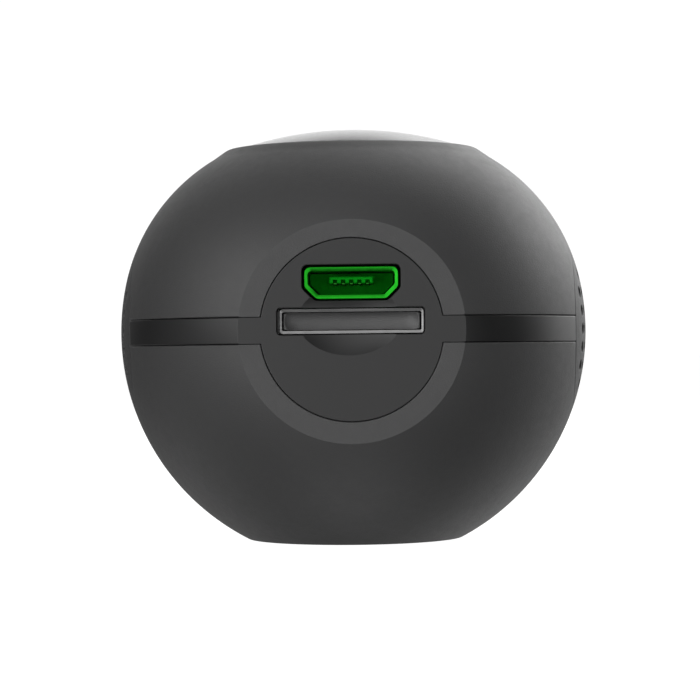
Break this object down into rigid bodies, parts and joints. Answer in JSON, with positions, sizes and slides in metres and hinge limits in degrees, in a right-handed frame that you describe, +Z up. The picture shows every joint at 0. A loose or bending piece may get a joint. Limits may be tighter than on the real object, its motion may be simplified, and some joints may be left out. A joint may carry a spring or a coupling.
{
  "type": "mini security camera",
  "caption": "Ball-shaped mini camera with a flat base, a domed window over its lens, a middle band with a charging port and a card slot, and perforated side grilles.",
  "frame": {"origin": "centre of the flat base face, on the axis of the lens", "axes": "+Z up out of the lens window, -Y out of the port face, +X to the speaker side"},
  "size_m": [0.04, 0.0379, 0.0351],
  "materials": {
    "shell_plastic": "fine satin texture",
    "band_plastic": "semi-gloss",
    "grille_plastic": "fine satin texture",
    "window_glass": "smoked, polished",
    "seal_rubber": "matte",
    "mask_plastic": "matte black",
    "mesh_fabric": "fine weave",
    "pad_rubber": "matte",
    "screw_steel": "zinc plated",
    "button_plastic": "satin",
    "light_pipe_plastic": "frosted",
    "usb_metal": "green plated",
    "usb_plastic": "dark green",
    "contact_gold": "gold plated",
    "socket_plastic": "moulded",
    "socket_steel": "stamped sheet",
    "spring_steel": "wire",
    "card_plastic": "grey moulded",
    "board_laminate": "solder mask",
    "chip_plastic": "moulded",
    "module_steel": "shield can",
    "sensor_ceramic": "package with glass lid",
    "filter_glass": "coated",
    "lens_glass": "coated, polished",
    "barrel_metal": "black anodised",
    "holder_plastic": "matte black",
    "led_resin": "dark clear resin",
    "sensor_resin": "clear resin",
    "status_resin": "diffuse resin",
    "flex_film": "polyimide",
    "connector_plastic": "moulded",
    "lead_insulation": "insulated wire",
    "capsule_metal": "pressed can",
    "speaker_metal": "pressed frame",
    "magnet_metal": "nickel plated",
    "cone_paper": "treated paper",
    "battery_foil": "foil pouch",
    "chassis_plastic": "moulded"
  },
  "bodies": {
    "camera_body": {"front_shell": "shell_plastic", "rear_shell": "shell_plastic", "port_band": "band_plastic", "button_band": "band_plastic", "front_window": "window_glass", "window_gasket": "seal_rubber", "window_mask": "mask_plastic", "right_grille": "grille_plastic", "left_grille": "grille_plastic", "grille_meshes": "mesh_fabric", "base_pad": "pad_rubber", "base_screws": "screw_steel", "light_pipe": "light_pipe_plastic", "usb_shell": "usb_metal", "usb_tongue": "usb_plastic", "usb_contacts": "contact_gold", "card_socket_base": "socket_plastic", "card_socket_shield": "socket_steel", "card_socket_contacts": "contact_gold", "card_eject_spring": "spring_steel", "image_sensor": "sensor_ceramic", "infrared_filter": "filter_glass", "lens_holder": "holder_plastic", "lens_holder_screws": "screw_steel", "lens_barrel": "barrel_metal", "front_lens_element": "lens_glass", "middle_lens_element": "lens_glass", "rear_lens_element": "lens_glass", "lens_retaining_ring": "barrel_metal", "lens_light_seal": "seal_rubber", "led_board": "board_laminate", "led_board_screws": "screw_steel", "infrared_leds": "led_resin", "light_sensor": "sensor_resin", "led_flex_cable": "flex_film", "flex_connector": "connector_plastic", "main_board": "board_laminate", "processor_chip": "chip_plastic", "memory_chip": "chip_plastic", "wireless_module": "module_steel", "small_components": "connector_plastic", "power_switch_body": "module_steel", "reset_switch_body": "module_steel", "status_led": "status_resin", "microphone_capsule": "capsule_metal", "microphone_boot": "seal_rubber", "microphone_leads": "lead_insulation", "speaker_frame": "speaker_metal", "speaker_magnet": "magnet_metal", "speaker_leads": "lead_insulation", "battery_cell": "battery_foil", "battery_leads": "lead_insulation", "chassis": "chassis_plastic", "frame_screws": "screw_steel"},
    "power_button": {"power_button": "button_plastic", "power_switch_plunger": "holder_plastic"},
    "reset_plunger": {"reset_switch_plunger": "holder_plastic"},
    "ejector": {"card_ejector": "socket_plastic"},
    "card": {"memory_card": "card_plastic"},
    "speaker_cone": {"speaker_diaphragm": "cone_paper"}
  },
  "joints": [
    {"name": "power_button_press", "type": "slide", "parent": "camera_body", "child": "power_button", "axis": [0, -1, 0], "range_m": [0, 0.0003], "stiffness_N_per_m": 300, "springref_m": -0.0002},
    {"name": "reset_press", "type": "slide", "parent": "camera_body", "child": "reset_plunger", "axis": [0, -1, 0], "range_m": [0, 0.00025], "stiffness_N_per_m": 200, "springref_m": -0.0002},
    {"name": "card_eject", "type": "slide", "parent": "camera_body", "child": "ejector", "axis": [0, -1, 0], "range_m": [-0.0006, 0.0035], "deforming": ["card_eject_spring"]},
    {"name": "card_pull", "type": "slide", "parent": "ejector", "child": "card", "axis": [0, -1, 0], "range_m": [0, 0.012]},
    {"name": "speaker_cone_move", "type": "slide", "parent": "camera_body", "child": "speaker_cone", "axis": [1, 0, 0], "range_m": [-0.0002, 0.0002], "stiffness_N_per_m": 150}
  ]
}
